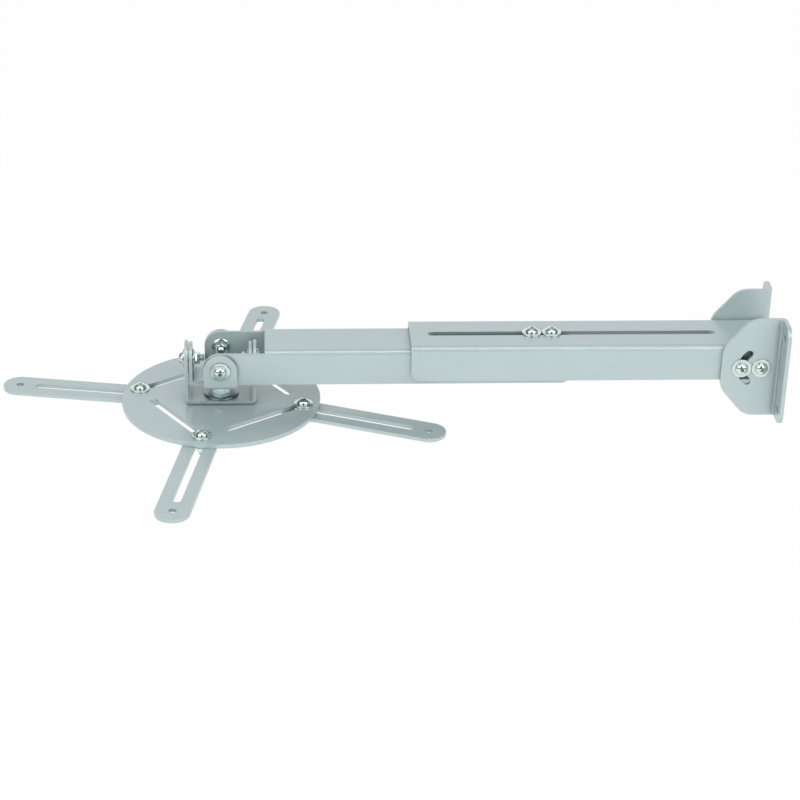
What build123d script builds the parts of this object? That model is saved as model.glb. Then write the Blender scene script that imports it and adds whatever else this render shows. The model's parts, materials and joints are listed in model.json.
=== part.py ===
from build123d import *
import os
from math import cos, radians, sin

# Projector mount: two wall brackets, a telescopic arm, a two-axis gimbal and a slotted disc with four arms.
# +X points at the wall, +Y to the back and +Z up. The origin is the middle of the four wall holes,
# on the wall face. Every size is in millimetres.

# Sheet gauges and folds
bracket_sheet = 3.0
channel_sheet = 2.5
gimbal_sheet = 2.5
disc_sheet = 3.5
arm_sheet = 3.0
fold_radius = 1.5

# Gaps between pieces
slip_gap = 0.05
cheek_gap = 0.5
nest_gap = 0.8
ear_gap = 0.4
leg_gap = 0.8
web_gap = 1.1
hole_gap = 0.5
slot_gap = 1.0
thread_gap = 0.1
washer_space = 0.4

# Cross-recess screw with its washer and flange nut
shank_width = 5.0
head_width = 9.5
head_height = 3.7
head_round = 2.6
recess_span = 4.8
recess_width = 1.2
recess_depth = 2.0
washer_width = 14.6
washer_sheet = 1.2
nut_flats = 8.0
nut_height = 5.5
nut_flange_width = 14.0
nut_flange_height = 1.2
nut_chamfer = 0.5
screw_tip = 3.0
tip_chamfer = 0.6

# Swivel bolt with its nut, top washer and friction washer
bolt_width = 8.0
bolt_flats = 13.0
bolt_head_height = 5.3
bolt_tip = 1.5
swivel_nut_height = 6.5
top_washer_width = 26.0
top_washer_sheet = 1.6
friction_washer_width = 24.0
friction_washer_sheet = 0.6
swivel_room = 4.45

# Wall brackets
cheek_height = 80.0
cheek_reach = 46.0
cheek_cut_run = 20.0
cheek_cut_rise = 23.5
cheek_corner = 16.0
flange_width = 19.5
flange_corner = 8.0
wall_hole_width = 5.5
wall_hole_inset = 10.5
wall_hole_rise = 60.0

# Tilt pivot and its lock, measured from the wall
pivot_reach = 16.0
lock_sweep = 98.0

# Outer arm channel, measured from the pivot
outer_width = 48.0
outer_height = 28.0
outer_top = 16.5
outer_reach = 263.0
outer_tail = 11.5
outer_web_tail = 2.0
outer_mouth_corner = 8.0
outer_tail_corner = 10.0
long_slot_inset = 16.5
long_slot_run = 212.0

# Inner arm channel, measured from the gimbal axis
spacer_sheet = 1.5
inner_height = 27.5
inner_tail = 263.0
inner_tail_corner = 8.0
gimbal_reach = 405.0
fork_reach = 12.5
fork_corner = 11.8
web_setback = 33.0
length_lock_inset = 14.1

# Gimbal
ear_width = 25.0
leg_width = 27.0
cross_half_gap = 21.0

# Disc and its four slots, with the bearings of the slot ends
disc_radius = 75.0
slot_edge_margin = 11.7
slot_outer_bearing = 77.8
slot_inner_radius = 51.0
slot_inner_bearing = 7.0

# Arms under the disc, measured from the clamp screw
arm_width = 25.5
arm_reach = 97.5
arm_hole_width = 5.5
arm_slot_stop = 14.8
arm_tail = 20.0
arm_tail_margin = 10.0
rear_arm_slide = -3.1
left_arm_slide = -3.8
front_arm_slide = 4.4
right_arm_slide = 2.1
rear_arm_turn = 0.4
left_arm_turn = 2.3
front_arm_turn = 1.9
right_arm_turn = -9.3

# Places that follow from the sizes
hole_width = shank_width + hole_gap
bolt_hole_width = bolt_width + hole_gap
slot_width = shank_width + slot_gap
outer_half = outer_width / 2
cheek_in = outer_half + cheek_gap
cheek_out = cheek_in + bracket_sheet
flange_out = cheek_out + flange_width
wall_hole_y = cheek_out + wall_hole_inset
pivot_x = -pivot_reach
washer_pitch = washer_width + washer_space
lock_x = pivot_x - washer_pitch
outer_left = pivot_x - outer_reach
outer_right = pivot_x + outer_tail
outer_bottom = outer_top - outer_height
inner_half = outer_half - channel_sheet - nest_gap
inner_top = outer_top - channel_sheet - spacer_sheet
inner_bottom = inner_top - inner_height
axis_x = pivot_x - gimbal_reach
inner_left = axis_x - fork_reach
inner_right = axis_x + inner_tail
fork_top = inner_top - channel_sheet
axis_z = (fork_top + inner_bottom) / 2
fork_half_gap = inner_half + ear_gap
ear_out = fork_half_gap + gimbal_sheet
cross_out = cross_half_gap + gimbal_sheet
leg_half_gap = cross_out + leg_gap
leg_out = leg_half_gap + gimbal_sheet
cross_web_drop = axis_z - inner_bottom + web_gap
swivel_stack = top_washer_sheet + swivel_nut_height + bolt_tip
base_web_drop = cross_web_drop + gimbal_sheet + swivel_room + swivel_stack
base_web_top = axis_z - base_web_drop
top_washer_top = base_web_top + top_washer_sheet
disc_top = base_web_top - gimbal_sheet - friction_washer_sheet
disc_bottom = disc_top - disc_sheet
arm_top = disc_bottom - slip_gap
slot_outer_radius = disc_radius - slot_edge_margin

os.makedirs("parts", exist_ok=True)


def upright(x, y, z, side):
    """Plane that faces along Y, towards the given side, with its x axis along X."""
    return Plane(origin=(x, y, z), x_dir=(1, 0, 0), z_dir=(0, side, 0))


def crosswise(x, y, z, side):
    """Plane that faces along X, towards the given side, with its x axis along Y."""
    return Plane(origin=(x, y, z), x_dir=(0, 1, 0), z_dir=(side, 0, 0))


def reversed_at(surface, depth):
    """Plane that lies the given depth behind a surface and faces the other way."""
    return Plane(origin=surface.offset(-depth).origin, x_dir=surface.x_dir, z_dir=-surface.z_dir)


def polar(radius, bearing):
    """Point in the disc's plane, at a radius and a bearing from the disc's centre."""
    return axis_x + radius * cos(radians(bearing)), radius * sin(radians(bearing))


# Washers, screws and nuts


def washer(surface, width, bore_width, thickness, name):
    """Flat ring that lies on a surface."""
    with BuildPart() as ring:
        with BuildSketch(surface):
            Circle(width / 2)
            Circle(bore_width / 2, mode=Mode.SUBTRACT)
        extrude(amount=thickness)
    ring.part.label = name
    export_step(ring.part, f"parts/{name}.step")


def pan_screw(seat, length, name):
    """Pan-head screw with a cross recess: its head sits on the seat and its shank runs back from it."""
    axis = Axis(seat.origin, seat.z_dir)
    with BuildPart() as screw:
        with BuildSketch(seat):
            Circle(head_width / 2)
        extrude(amount=head_height)
        fillet(screw.edges().sort_by(axis)[-1], head_round)
        with BuildSketch(seat):
            Circle(shank_width / 2)
        extrude(amount=-length)
        chamfer(screw.edges().sort_by(axis)[0], tip_chamfer)
        with BuildSketch(seat.offset(head_height)):
            Rectangle(recess_span, recess_width)
            Rectangle(recess_width, recess_span)
        extrude(amount=-recess_depth, mode=Mode.SUBTRACT)
    screw.part.label = name
    export_step(screw.part, f"parts/{name}.step")


def flange_nut(seat, name):
    """Hexagon nut with a round flange, standing on its seat."""
    with BuildPart() as nut:
        with BuildSketch(seat):
            RegularPolygon(nut_flats / 2, 6, major_radius=False)
        extrude(amount=nut_height)
        chamfer(nut.faces().sort_by(Axis(seat.origin, seat.z_dir))[-1].edges(), nut_chamfer)
        with BuildSketch(seat):
            Circle(nut_flange_width / 2)
        extrude(amount=nut_flange_height)
        with BuildSketch(seat):
            Circle((shank_width + thread_gap) / 2)
        extrude(amount=nut_height, mode=Mode.SUBTRACT)
    nut.part.label = name
    export_step(nut.part, f"parts/{name}.step")


def fasten(surface, grip, name):
    """Screw and washer on a surface, with a flange nut behind what they grip."""
    head_seat = surface.offset(slip_gap + washer_sheet)
    length = washer_sheet + grip + 2 * slip_gap + nut_height + screw_tip
    washer(surface.offset(slip_gap), washer_width, hole_width, washer_sheet, f"{name}_washer")
    pan_screw(head_seat, length, f"{name}_screw")
    flange_nut(reversed_at(surface, grip + slip_gap), f"{name}_nut")


# Wall brackets, folded from one sheet each, with their tilt fasteners

for side, place in ((-1, "front"), (1, "back")):
    with BuildPart() as wall_bracket:
        with BuildSketch(Plane.XY.offset(-cheek_height / 2)) as section:
            with BuildLine():
                Polyline(
                    (-cheek_reach, side * cheek_in),
                    (0, side * cheek_in),
                    (0, side * flange_out),
                    (-bracket_sheet, side * flange_out),
                    (-bracket_sheet, side * cheek_out),
                    (-cheek_reach, side * cheek_out),
                    close=True,
                )
            make_face()
            outer_fold = section.vertices().sort_by_distance((0, side * cheek_in, 0))[0]
            fillet(outer_fold, fold_radius + bracket_sheet)
            inner_fold = section.vertices().sort_by_distance((-bracket_sheet, side * cheek_out, 0))[0]
            fillet(inner_fold, fold_radius)
        extrude(amount=cheek_height)
        with BuildSketch(Plane.XZ) as cheek_outline:
            with BuildLine():
                Polyline(
                    (0, cheek_height / 2),
                    (-cheek_reach + cheek_cut_run, cheek_height / 2),
                    (-cheek_reach, cheek_height / 2 - cheek_cut_rise),
                    (-cheek_reach, cheek_cut_rise - cheek_height / 2),
                    (-cheek_reach + cheek_cut_run, -cheek_height / 2),
                    (0, -cheek_height / 2),
                    close=True,
                )
            make_face()
            fillet(cheek_outline.vertices().group_by(Axis.X)[0], cheek_corner)
            cut_end = -cheek_reach + cheek_cut_run
            cut_tops = [v for v in cheek_outline.vertices() if abs(v.X - cut_end) < slip_gap]
            fillet(cut_tops, cheek_corner)
        extrude(amount=flange_out, both=True, mode=Mode.INTERSECT)
        with BuildSketch(Plane.YZ) as flange_outline:
            with Locations((side * flange_out / 2, 0)):
                Rectangle(flange_out, cheek_height)
            outer_corners = flange_outline.vertices().sort_by(Axis.X)
            fillet(outer_corners[:2] if side < 0 else outer_corners[-2:], flange_corner)
        extrude(amount=-cheek_reach, mode=Mode.INTERSECT)
        with BuildSketch(Plane.YZ):
            with Locations((side * wall_hole_y, 0)):
                with GridLocations(0, wall_hole_rise, 1, 2):
                    Circle(wall_hole_width / 2)
        extrude(amount=-bracket_sheet, mode=Mode.SUBTRACT)
        with BuildSketch(Plane.XZ):
            with Locations((pivot_x, 0)):
                Circle(hole_width / 2)
            with BuildLine() as lock_path:
                CenterArc((pivot_x, 0), washer_pitch, 180 - lock_sweep / 2, lock_sweep)
            SlotArc(lock_path.edge(), slot_width)
        extrude(amount=cheek_out, both=True, mode=Mode.SUBTRACT)
    wall_bracket.part.label = f"wall_bracket_{place}"
    export_step(wall_bracket.part, f"parts/wall_bracket_{place}.step")

    cheek_grip = bracket_sheet + cheek_gap + channel_sheet
    fasten(upright(pivot_x, side * cheek_out, 0, side), cheek_grip, f"tilt_pivot_{place}")
    fasten(upright(lock_x, side * cheek_out, 0, side), cheek_grip, f"tilt_lock_{place}")


# Arm channels, folded U sections that are open below


def channel_section(plane, half_width, top, bottom):
    """Folded U section on a plane that faces along X."""
    inside = half_width - channel_sheet
    ceiling = top - channel_sheet
    with BuildSketch(plane) as section:
        with BuildLine():
            Polyline(
                (-half_width, bottom),
                (-half_width, top),
                (half_width, top),
                (half_width, bottom),
                (inside, bottom),
                (inside, ceiling),
                (-inside, ceiling),
                (-inside, bottom),
                close=True,
            )
        make_face()
        fillet(section.vertices().group_by(Axis.Y)[-1], fold_radius + channel_sheet)
        ceiling_corners = [v for v in section.vertices() if abs(v.Y - ceiling) < slip_gap]
        fillet(ceiling_corners, fold_radius)
    return section.sketch


with BuildPart() as outer_channel:
    outer_section = channel_section(Plane.YZ.offset(outer_left), outer_half, outer_top, outer_bottom)
    extrude(outer_section, amount=outer_right - outer_left)
    with BuildSketch(Plane.XZ) as outer_outline:
        with Locations(((outer_left + outer_right) / 2, (outer_top + outer_bottom) / 2)):
            Rectangle(outer_right - outer_left, outer_height)
        mouth, tail = outer_outline.vertices().group_by(Axis.X)
        fillet(mouth.sort_by(Axis.Y)[0], outer_mouth_corner)
        fillet(tail, outer_tail_corner)
    extrude(amount=outer_half, both=True, mode=Mode.INTERSECT)
    with BuildSketch(Plane.XY.offset(outer_top)):
        with Locations((outer_left + long_slot_inset + long_slot_run / 2, 0)):
            SlotCenterToCenter(long_slot_run, slot_width)
        with Locations((pivot_x + outer_web_tail, 0)):
            web_notch = outer_width - 2 * channel_sheet
            Rectangle(outer_tail, web_notch, align=(Align.MIN, Align.CENTER))
    extrude(amount=-channel_sheet - fold_radius, mode=Mode.SUBTRACT)
    with BuildSketch(Plane.XZ):
        with Locations((pivot_x, 0), (lock_x, 0)):
            Circle(hole_width / 2)
    extrude(amount=outer_half, both=True, mode=Mode.SUBTRACT)
outer_channel.part.label = "outer_channel"
export_step(outer_channel.part, "parts/outer_channel.step")

length_lock_x = [inner_right - length_lock_inset - step * washer_pitch for step in range(2)]

with BuildPart() as inner_channel:
    inner_section = channel_section(Plane.YZ.offset(inner_left), inner_half, inner_top, inner_bottom)
    extrude(inner_section, amount=inner_right - inner_left)
    fork_place = Location((inner_left, 0, fork_top))
    fork_run = fork_reach + web_setback
    with BuildSketch(Plane(fork_place)):
        Rectangle(fork_run, 2 * inner_half, align=(Align.MIN, Align.CENTER))
    extrude(amount=channel_sheet, mode=Mode.SUBTRACT)
    with BuildSketch(Plane(fork_place)):
        Rectangle(fork_run, 2 * (inner_half - channel_sheet), align=(Align.MIN, Align.CENTER))
    extrude(amount=-fold_radius, mode=Mode.SUBTRACT)
    fork_ends = inner_channel.edges().filter_by(Axis.Y).group_by(Axis.X)[0]
    fillet(fork_ends, fork_corner)
    tail_ends = inner_channel.edges().filter_by(Axis.Y).group_by(Axis.X)[-1].group_by(Axis.Z)[0]
    fillet(tail_ends, inner_tail_corner)
    with BuildSketch(Plane.XY.offset(inner_top)):
        with Locations(*[(x, 0) for x in length_lock_x]):
            Circle(hole_width / 2)
    extrude(amount=-channel_sheet, mode=Mode.SUBTRACT)
    with BuildSketch(Plane.XZ):
        with Locations((axis_x, axis_z)):
            Circle(hole_width / 2)
    extrude(amount=inner_half, both=True, mode=Mode.SUBTRACT)
inner_channel.part.label = "inner_channel"
export_step(inner_channel.part, "parts/inner_channel.step")

for number, x in enumerate(length_lock_x, start=1):
    web_grip = 2 * channel_sheet + spacer_sheet
    fasten(Plane(origin=(x, 0, outer_top)), web_grip, f"length_lock_{number}")
    spacer_seat = Plane(origin=(x, 0, inner_top))
    washer(spacer_seat, washer_width, hole_width, spacer_sheet - slip_gap, f"length_lock_{number}_spacer")


# Gimbal, made of straps folded into a U


def folded_strap(legs_along_x, half_gap, web_drop, width):
    """Strap with a flat web below the gimbal axes and two round-topped legs, each with a screw hole."""
    section_plane = upright(axis_x, 0, axis_z, -1) if legs_along_x else crosswise(axis_x, 0, axis_z, 1)
    leg_plane = crosswise(axis_x, 0, axis_z, 1) if legs_along_x else upright(axis_x, 0, axis_z, -1)
    half_span = half_gap + gimbal_sheet
    drop = web_drop + gimbal_sheet
    with BuildPart() as strap:
        with BuildSketch(section_plane) as strap_section:
            with BuildLine():
                Polyline(
                    (-half_span, width / 2),
                    (-half_span, -drop),
                    (half_span, -drop),
                    (half_span, width / 2),
                    (half_gap, width / 2),
                    (half_gap, -web_drop),
                    (-half_gap, -web_drop),
                    (-half_gap, width / 2),
                    close=True,
                )
            make_face()
            fillet(strap_section.vertices().group_by(Axis.Y)[0], fold_radius + gimbal_sheet)
            web_corners = [v for v in strap_section.vertices() if abs(v.Y + web_drop) < slip_gap]
            fillet(web_corners, fold_radius)
        extrude(amount=width / 2, both=True)
        with BuildSketch(leg_plane):
            Circle(width / 2)
            Rectangle(width, drop, align=(Align.CENTER, Align.MAX))
        extrude(amount=half_span, both=True, mode=Mode.INTERSECT)
        with BuildSketch(leg_plane):
            Circle(hole_width / 2)
        extrude(amount=half_span, both=True, mode=Mode.SUBTRACT)
    return strap.part


with BuildPart() as cross_bracket:
    add(folded_strap(True, cross_half_gap, cross_web_drop, ear_width))
    add(folded_strap(False, fork_half_gap, cross_web_drop, ear_width))
cross_bracket.part.label = "cross_bracket"
export_step(cross_bracket.part, "parts/cross_bracket.step")

for side, place in ((-1, "front"), (1, "back")):
    ear_grip = gimbal_sheet + ear_gap + channel_sheet
    fasten(upright(axis_x, side * ear_out, axis_z, side), ear_grip, f"pitch_{place}")

with BuildPart() as base_bracket:
    add(folded_strap(True, leg_half_gap, base_web_drop, leg_width))
    with BuildSketch(Plane(origin=(axis_x, 0, base_web_top))):
        Circle(bolt_hole_width / 2)
    extrude(amount=-gimbal_sheet, mode=Mode.SUBTRACT)
base_bracket.part.label = "base_bracket"
export_step(base_bracket.part, "parts/base_bracket.step")

for side, place in ((-1, "left"), (1, "right")):
    leg_grip = 2 * gimbal_sheet + leg_gap
    fasten(crosswise(axis_x + side * leg_out, 0, axis_z, side), leg_grip, f"roll_{place}")


# Disc with its swivel bolt, washers and nut

with BuildPart() as disc:
    with BuildSketch(Plane(origin=(axis_x, 0, disc_bottom))):
        Circle(disc_radius)
        Circle(bolt_hole_width / 2, mode=Mode.SUBTRACT)
    extrude(amount=disc_sheet)
    with BuildSketch(Plane.XY.offset(disc_bottom)):
        for quarter in range(4):
            outer_end = polar(slot_outer_radius, slot_outer_bearing + 90 * quarter)
            inner_end = polar(slot_inner_radius, slot_inner_bearing + 90 * quarter)
            with BuildLine() as disc_slot_path:
                Line(inner_end, outer_end)
            SlotArc(disc_slot_path.edge(), slot_width)
    extrude(amount=disc_sheet, mode=Mode.SUBTRACT)
disc.part.label = "disc"
export_step(disc.part, "parts/disc.step")

with BuildPart() as swivel_bolt:
    with BuildSketch(Plane(origin=(axis_x, 0, disc_bottom))):
        RegularPolygon(bolt_flats / 2, 6, major_radius=False)
    extrude(amount=-bolt_head_height)
    chamfer(swivel_bolt.faces().sort_by(Axis.Z)[0].edges(), nut_chamfer)
    with BuildSketch(Plane(origin=(axis_x, 0, disc_bottom))):
        Circle(bolt_width / 2)
    bolt_top = base_web_top + swivel_stack
    extrude(amount=bolt_top - disc_bottom)
    chamfer(swivel_bolt.edges().sort_by(Axis.Z)[-1], tip_chamfer)
swivel_bolt.part.label = "swivel_bolt"
export_step(swivel_bolt.part, "parts/swivel_bolt.step")

friction_seat = Plane(origin=(axis_x, 0, disc_top))
friction_sheet = friction_washer_sheet - slip_gap
washer(friction_seat, friction_washer_width, bolt_hole_width, friction_sheet, "swivel_washer")
top_seat = Plane(origin=(axis_x, 0, base_web_top))
washer(top_seat, top_washer_width, bolt_hole_width, top_washer_sheet, "swivel_top_washer")

with BuildPart() as swivel_nut:
    with BuildSketch(Plane(origin=(axis_x, 0, top_washer_top + slip_gap))):
        RegularPolygon(bolt_flats / 2, 6, major_radius=False, rotation=30)
    extrude(amount=swivel_nut_height)
    chamfer(swivel_nut.faces().sort_by(Axis.Z)[-1].edges(), nut_chamfer)
    with BuildSketch(Plane(origin=(axis_x, 0, top_washer_top + slip_gap))):
        Circle((bolt_width + thread_gap) / 2)
    extrude(amount=swivel_nut_height, mode=Mode.SUBTRACT)
swivel_nut.part.label = "swivel_nut"
export_step(swivel_nut.part, "parts/swivel_nut.step")


# Four arms under the disc, each on its own clamp screw

arm_settings = {
    "rear": (rear_arm_turn, rear_arm_slide),
    "left": (left_arm_turn, left_arm_slide),
    "front": (front_arm_turn, front_arm_slide),
    "right": (right_arm_turn, right_arm_slide),
}

for quarter, (place, (turn, slide)) in enumerate(arm_settings.items()):
    bearing = slot_outer_bearing + 90 * quarter
    clamp_x, clamp_y = polar(slot_outer_radius, bearing)
    heading = radians(bearing + turn)
    outward = (cos(heading), sin(heading), 0)
    arm_plane = Plane(origin=(clamp_x, clamp_y, arm_top), x_dir=outward, z_dir=(0, 0, 1))
    hole_reach = arm_reach + slide
    arm_start = slide - arm_tail
    arm_stop = hole_reach + arm_width / 2
    slot_start = arm_start + arm_tail_margin
    slot_stop = hole_reach - arm_slot_stop
    with BuildPart() as arm:
        with BuildSketch(arm_plane):
            with Locations(((arm_start + arm_stop) / 2, 0)):
                SlotOverall(arm_stop - arm_start, arm_width)
            with Locations(((slot_start + slot_stop) / 2, 0)):
                SlotCenterToCenter(slot_stop - slot_start, slot_width, mode=Mode.SUBTRACT)
            with Locations((hole_reach, 0)):
                Circle(arm_hole_width / 2, mode=Mode.SUBTRACT)
        extrude(amount=-arm_sheet)
    arm.part.label = f"arm_{place}"
    export_step(arm.part, f"parts/arm_{place}.step")

    clamp_grip = disc_sheet + slip_gap + arm_sheet
    fasten(Plane(origin=(clamp_x, clamp_y, disc_top)), clamp_grip, f"clamp_{place}")
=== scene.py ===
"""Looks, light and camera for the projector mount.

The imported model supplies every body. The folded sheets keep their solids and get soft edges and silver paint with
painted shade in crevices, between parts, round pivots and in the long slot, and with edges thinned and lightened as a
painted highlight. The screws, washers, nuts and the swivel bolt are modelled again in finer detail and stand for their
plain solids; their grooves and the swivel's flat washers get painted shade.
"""

from __future__ import annotations

import json
import logging
import math
from dataclasses import dataclass, field, replace
from enum import Enum
from functools import partial
from typing import Any, Callable

import bmesh
import bpy
from mathutils import Matrix, Vector

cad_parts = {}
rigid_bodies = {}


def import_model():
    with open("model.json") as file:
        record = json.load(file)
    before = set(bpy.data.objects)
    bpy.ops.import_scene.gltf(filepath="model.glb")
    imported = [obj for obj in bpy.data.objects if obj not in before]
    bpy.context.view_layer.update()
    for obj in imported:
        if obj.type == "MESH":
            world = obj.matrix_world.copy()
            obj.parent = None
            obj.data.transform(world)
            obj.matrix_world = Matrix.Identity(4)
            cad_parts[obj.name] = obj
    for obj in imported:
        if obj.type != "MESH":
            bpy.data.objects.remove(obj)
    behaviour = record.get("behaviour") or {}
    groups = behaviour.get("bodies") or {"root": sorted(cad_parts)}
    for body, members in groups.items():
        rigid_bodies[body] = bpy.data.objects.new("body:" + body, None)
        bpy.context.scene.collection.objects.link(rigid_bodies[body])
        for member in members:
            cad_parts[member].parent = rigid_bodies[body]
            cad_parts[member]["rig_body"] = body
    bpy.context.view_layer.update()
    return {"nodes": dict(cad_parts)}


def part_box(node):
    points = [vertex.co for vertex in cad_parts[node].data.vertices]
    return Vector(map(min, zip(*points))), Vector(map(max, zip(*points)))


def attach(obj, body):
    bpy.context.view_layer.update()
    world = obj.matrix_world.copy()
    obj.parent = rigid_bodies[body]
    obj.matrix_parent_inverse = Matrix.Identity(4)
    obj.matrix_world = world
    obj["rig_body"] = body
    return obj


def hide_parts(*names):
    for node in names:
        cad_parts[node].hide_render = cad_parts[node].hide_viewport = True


LOG = logging.getLogger("projector_mount")
MM = 0.001  # metres in a millimetre
SAME_PLACE = 1e-6  # metres between vertices that are merged
NO_LENGTH = 1e-7  # metres of an edge that is taken out
HALF_SIDE = math.radians(30.0)  # half the angle that one side of a hexagon takes up
WHITE = (1.0, 1.0, 1.0)
Colour = tuple[float, float, float]
Point = tuple[float, float, float]
Outline = list[tuple[float, float]]
Ring = Callable[[float], tuple[float, float]]


class Facing(Enum):
    """Way that a fastener's head or a face of a sheet looks."""

    FRONT = (0.0, -1.0, 0.0)
    BACK = (0.0, 1.0, 0.0)
    LEFT = (-1.0, 0.0, 0.0)
    RIGHT = (1.0, 0.0, 0.0)
    UP = (0.0, 0.0, 1.0)
    DOWN = (0.0, 0.0, -1.0)

    @property
    def axis(self) -> Vector:
        """Unit vector of this way."""
        return Vector(self.value)


class Wire:
    """A shader socket that can be used in sums.

    Args:
        graph: The graph that new Math nodes are added to.
        socket: The output socket that holds the value.
    """

    def __init__(self, graph: Graph, socket: bpy.types.NodeSocket) -> None:
        self.graph = graph
        self.socket = socket

    def _math(self, operation: str, first: Wire | float, second: Wire | float) -> Wire:
        """Adds one Math node.

        Args:
            operation: The node's operation.
            first: Its first value or link.
            second: Its second value or link.

        Returns:
            The node's result.
        """
        return self.graph.node("ShaderNodeMath", {"operation": operation}, {0: first, 1: second}).wire()

    def __add__(self, other: Wire | float) -> Wire:
        """Sum with a number or another wire."""
        return self._math("ADD", self, other)

    __radd__ = __add__

    def __sub__(self, other: Wire | float) -> Wire:
        """Difference from a number or another wire."""
        return self._math("SUBTRACT", self, other)

    def __rsub__(self, other: Wire | float) -> Wire:
        """Difference of a number and this wire."""
        return self._math("SUBTRACT", other, self)

    def __mul__(self, other: Wire | float) -> Wire:
        """Product with a number or another wire."""
        return self._math("MULTIPLY", self, other)

    __rmul__ = __mul__

    def __pow__(self, other: Wire | float) -> Wire:
        """Power of this wire."""
        return self._math("POWER", self, other)

    def __rpow__(self, other: Wire | float) -> Wire:
        """A number to the power of this wire."""
        return self._math("POWER", other, self)

    def larger(self, other: Wire | float) -> Wire:
        """The larger of this and another value."""
        return self._math("MAXIMUM", self, other)

    def ramp(self, low: float, high: float, start: float = 0.0, end: float = 1.0) -> Wire:
        """Eases from one value to another as this wire goes from low to high.

        Args:
            low: Value of this wire where the ease starts.
            high: Value of this wire where the ease ends.
            start: Result at low.
            end: Result at high.

        Returns:
            The eased value.
        """
        settings = {"interpolation_type": "SMOOTHSTEP"}
        return self.graph.node("ShaderNodeMapRange", settings, {0: self, 1: low, 2: high, 3: start, 4: end}).wire()


class Made:
    """A node that was made, with easy access to its outputs.

    Args:
        graph: The graph that the node is in.
        node: The node itself.
    """

    def __init__(self, graph: Graph, node: bpy.types.Node) -> None:
        self.graph = graph
        self.node = node

    def wire(self, output: int | str = 0) -> Wire:
        """One of the node's outputs."""
        return Wire(self.graph, self.node.outputs[output])


class Graph:
    """A node tree that is built by calls.

    Args:
        tree: The node tree, which is cleared first.
    """

    def __init__(self, tree: bpy.types.NodeTree) -> None:
        self.tree = tree
        tree.nodes.clear()

    def node(self, kind: str, settings: dict[str, Any] | None = None, inputs: dict[Any, Any] | None = None) -> Made:
        """Adds a node.

        Args:
            kind: The node's type name.
            settings: Attributes to set before the inputs.
            inputs: Values or wires for its input sockets, by name or number.

        Returns:
            The new node.
        """
        node = self.tree.nodes.new(kind)
        for key, value in (settings or {}).items():
            setattr(node, key, value)
        for key, value in (inputs or {}).items():
            socket = node.inputs[key]
            if isinstance(value, Wire):
                self.tree.links.new(value.socket, socket)
            elif socket.type == "RGBA":
                socket.default_value = (*value, 1.0)
            else:
                socket.default_value = value
        return Made(self, node)

    def noise(self, place: Wire, scale: float, detail: float = 2.0, roughness: float = 0.5) -> Wire:
        """Cloudy noise from 0 to 1.

        Args:
            place: The coordinates.
            scale: Features per metre.
            detail: Number of finer layers.
            roughness: Share of the finer layers.

        Returns:
            The noise value.
        """
        inputs = {"Vector": place, "Scale": scale, "Detail": detail, "Roughness": roughness}
        return self.node("ShaderNodeTexNoise", {}, inputs).wire("Fac")

    def blend(self, share: Wire, first: Wire | Colour, second: Wire | Colour) -> Wire:
        """Colour between two colours.

        Args:
            share: 0 for the first colour and 1 for the second.
            first: A colour or a wire.
            second: A colour or a wire.

        Returns:
            The mixed colour.
        """
        made = self.node("ShaderNodeMix", {"data_type": "RGBA"}, {0: share, 6: first, 7: second})
        return made.wire(2)

    def object_place(self) -> Wire:
        """Coordinates of the piece, in metres."""
        return self.node("ShaderNodeTexCoord").wire("Object")

    def scaled(self, place: Wire, scale: Point) -> Wire:
        """Coordinates stretched along each axis."""
        return self.node("ShaderNodeMapping", {}, {"Vector": place, "Scale": Vector(scale)}).wire()


def new_material(name: str) -> tuple[bpy.types.Material, Graph]:
    """Makes an empty material.

    Args:
        name: The material's name.

    Returns:
        The material, and the graph that its nodes go in.
    """
    material = bpy.data.materials.new(name)
    material.use_nodes = True
    return material, Graph(material.node_tree)


@dataclass(frozen=True)
class ShadeRing:
    """Round patch of painted shade on a sheet, round a pivot where another part turns against it. Sizes are in
    millimetres.

    Args:
        middle: The mark's middle.
        facing: Way that the marked face looks.
        outer: Radius where the mark ends.
        side: Distance of the marked face from the middle.
        inner: Radius where the mark starts, which is below zero for a mark that is filled.
        feather: Half the width of the mark's soft edges.
        depth: How far the mark covers the paint, from 0 to 1.
        both: Whether the opposite face has the mark too.
        fray: How far noise moves the mark's edges.
        skin: Depths under the marked face where the mark starts to show and where it is full.
    """

    middle: Point
    facing: Facing
    outer: float
    side: float
    inner: float = -10.0
    feather: float = 0.5
    depth: float = 1.0
    both: bool = True
    fray: float = 1.0
    skin: tuple[float, float] = (0.5, 0.2)

    def share(self, axes: Made, mottle: Wire) -> Wire:
        """Share of the mark over the paint.

        Args:
            axes: The piece's coordinates, one output for each axis.
            mottle: Noise that frays the mark.

        Returns:
            The mark's depth where it is and 0 elsewhere.
        """
        offsets = [axes.wire(number) - place * MM for number, place in enumerate(self.middle)]
        out = offsets.pop([abs(part) for part in self.facing.value].index(1.0))
        first, second = offsets
        distance = (first * first + second * second) ** 0.5 + (mottle - 0.5) * (self.fray * MM)
        inside = distance.ramp((self.inner - self.feather) * MM, (self.inner + self.feather) * MM)
        outside = distance.ramp((self.outer - self.feather) * MM, (self.outer + self.feather) * MM, self.depth, 0.0)
        low, high = ((self.side - deep) * MM for deep in self.skin)
        face = (out * out).ramp(low**2, high**2) if self.both else out.ramp(low, high)
        return inside * outside * face


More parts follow.
